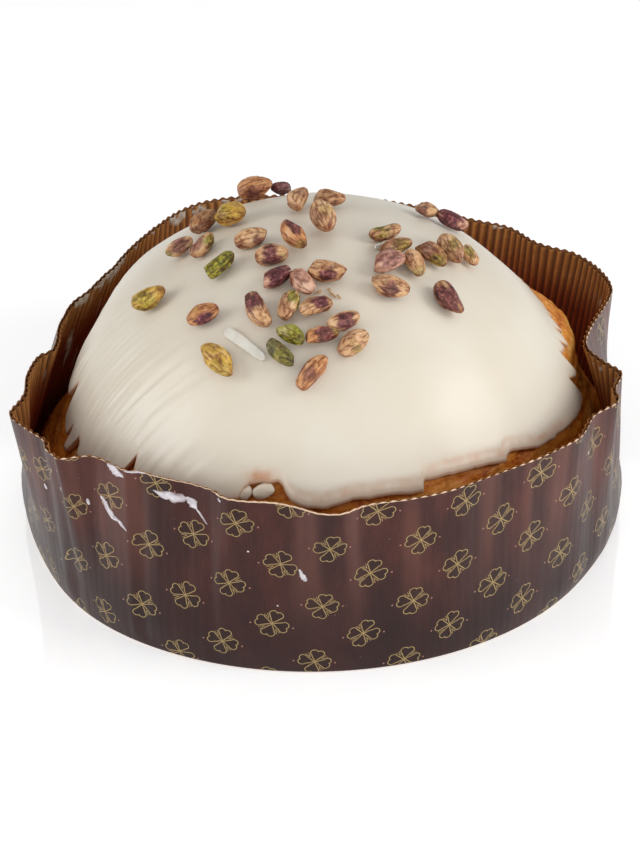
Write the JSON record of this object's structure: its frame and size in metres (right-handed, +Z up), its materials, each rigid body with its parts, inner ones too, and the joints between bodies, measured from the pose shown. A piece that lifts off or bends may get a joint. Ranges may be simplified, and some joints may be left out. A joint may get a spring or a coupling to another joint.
{
  "type": "iced panettone in a paper case",
  "caption": "Domed sweet bread with white icing and pistachio kernels, standing in its fluted brown paper baking case with a clover print.",
  "frame": {"origin": "centre of the underside of the case, on the surface it stands on", "axes": "+Z up, -Y towards the front that the picture shows, +X to its right"},
  "size_m": [0.23, 0.2431, 0.1303],
  "materials": {
    "case_paper": "dark brown-purple waxed paper with fine gold clovers outside, kraft brown inside",
    "base_paper": "kraft brown paper",
    "crust": "baked orange-brown crust with a faint shine",
    "icing": "cream white set sugar icing, satin",
    "pistachio": "wrinkled tan skin with purple and green patches",
    "sliver": "white, matt"
  },
  "bodies": {
    "root": {"case_wall": "case_paper", "case_base": "base_paper", "bread": "crust", "icing": "icing", "pistachio_01": "pistachio", "pistachio_02": "pistachio", "pistachio_03": "pistachio", "pistachio_04": "pistachio", "pistachio_05": "pistachio", "pistachio_06": "pistachio", "pistachio_07": "pistachio", "pistachio_08": "pistachio", "pistachio_09": "pistachio", "pistachio_10": "pistachio", "pistachio_11": "pistachio", "pistachio_12": "pistachio", "pistachio_13": "pistachio", "pistachio_14": "pistachio", "pistachio_15": "pistachio", "pistachio_16": "pistachio", "pistachio_17": "pistachio", "pistachio_18": "pistachio", "pistachio_19": "pistachio", "pistachio_20": "pistachio", "pistachio_21": "pistachio", "pistachio_22": "pistachio", "pistachio_23": "pistachio", "pistachio_24": "pistachio", "pistachio_25": "pistachio", "pistachio_26": "pistachio", "pistachio_27": "pistachio", "pistachio_28": "pistachio", "pistachio_29": "pistachio", "pistachio_30": "pistachio", "pistachio_31": "pistachio", "pistachio_32": "pistachio", "pistachio_33": "pistachio", "pistachio_34": "pistachio", "pistachio_35": "pistachio", "pistachio_36": "pistachio", "pistachio_37": "pistachio", "pistachio_38": "pistachio", "pistachio_39": "pistachio", "white_sliver_1": "sliver", "white_sliver_2": "sliver"}
  },
  "joints": []
}
